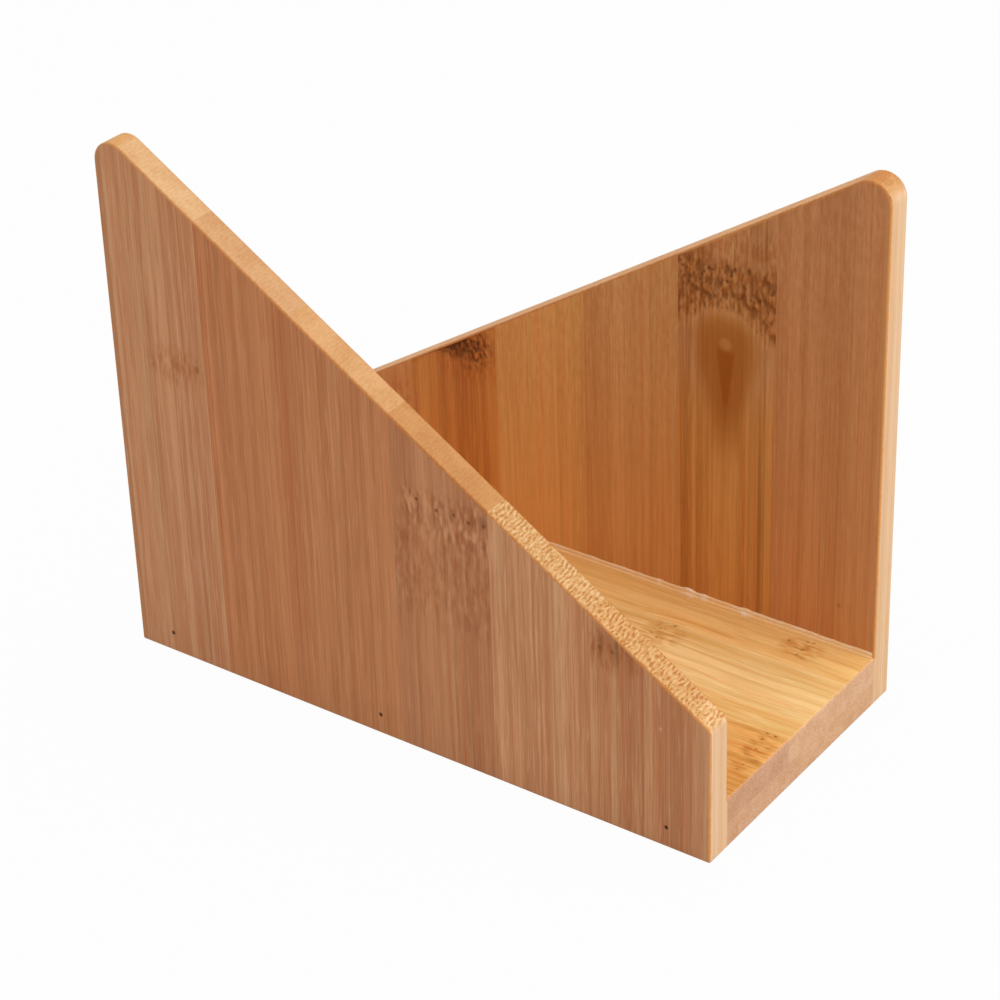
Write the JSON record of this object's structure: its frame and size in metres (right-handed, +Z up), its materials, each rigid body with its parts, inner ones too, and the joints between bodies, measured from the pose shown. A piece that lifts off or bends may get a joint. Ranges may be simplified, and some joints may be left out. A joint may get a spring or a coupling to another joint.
{
  "type": "napkin holder",
  "caption": "Bamboo holder for napkins or filter papers, open at both ends: opposed sloping side boards glued and pinned to a laminated base.",
  "frame": {"origin": "centre of the underside, on the surface that the holder stands on", "axes": "+X along the boards, towards the back board's tall corner and the front board's low corner; +Y from the front board to the back board; +Z up"},
  "size_m": [0.155, 0.075, 0.1265],
  "materials": {
    "side_bamboo": "carbonised bamboo, sanded and lightly oiled",
    "base_bamboo": "natural bamboo, sanded and lightly oiled",
    "brad_steel": "dark bare steel",
    "dried_glue": "dried squeeze-out of white glue"
  },
  "bodies": {
    "root": {"front_stave_1": "side_bamboo", "front_stave_2": "side_bamboo", "front_stave_3": "side_bamboo", "front_stave_4": "side_bamboo", "front_stave_5": "side_bamboo", "front_stave_6": "side_bamboo", "front_stave_7": "side_bamboo", "front_stave_8": "side_bamboo", "back_stave_1": "side_bamboo", "back_stave_2": "side_bamboo", "back_stave_3": "side_bamboo", "back_stave_4": "side_bamboo", "back_stave_5": "side_bamboo", "back_stave_6": "side_bamboo", "back_stave_7": "side_bamboo", "back_stave_8": "side_bamboo", "base_upper_stave_1": "base_bamboo", "base_upper_stave_2": "base_bamboo", "base_upper_stave_3": "base_bamboo", "base_lower_stave_1": "base_bamboo", "base_lower_stave_2": "base_bamboo", "base_lower_stave_3": "base_bamboo", "base_lower_stave_4": "base_bamboo", "front_brads": "brad_steel", "back_brads": "brad_steel"}
  },
  "joints": []
}
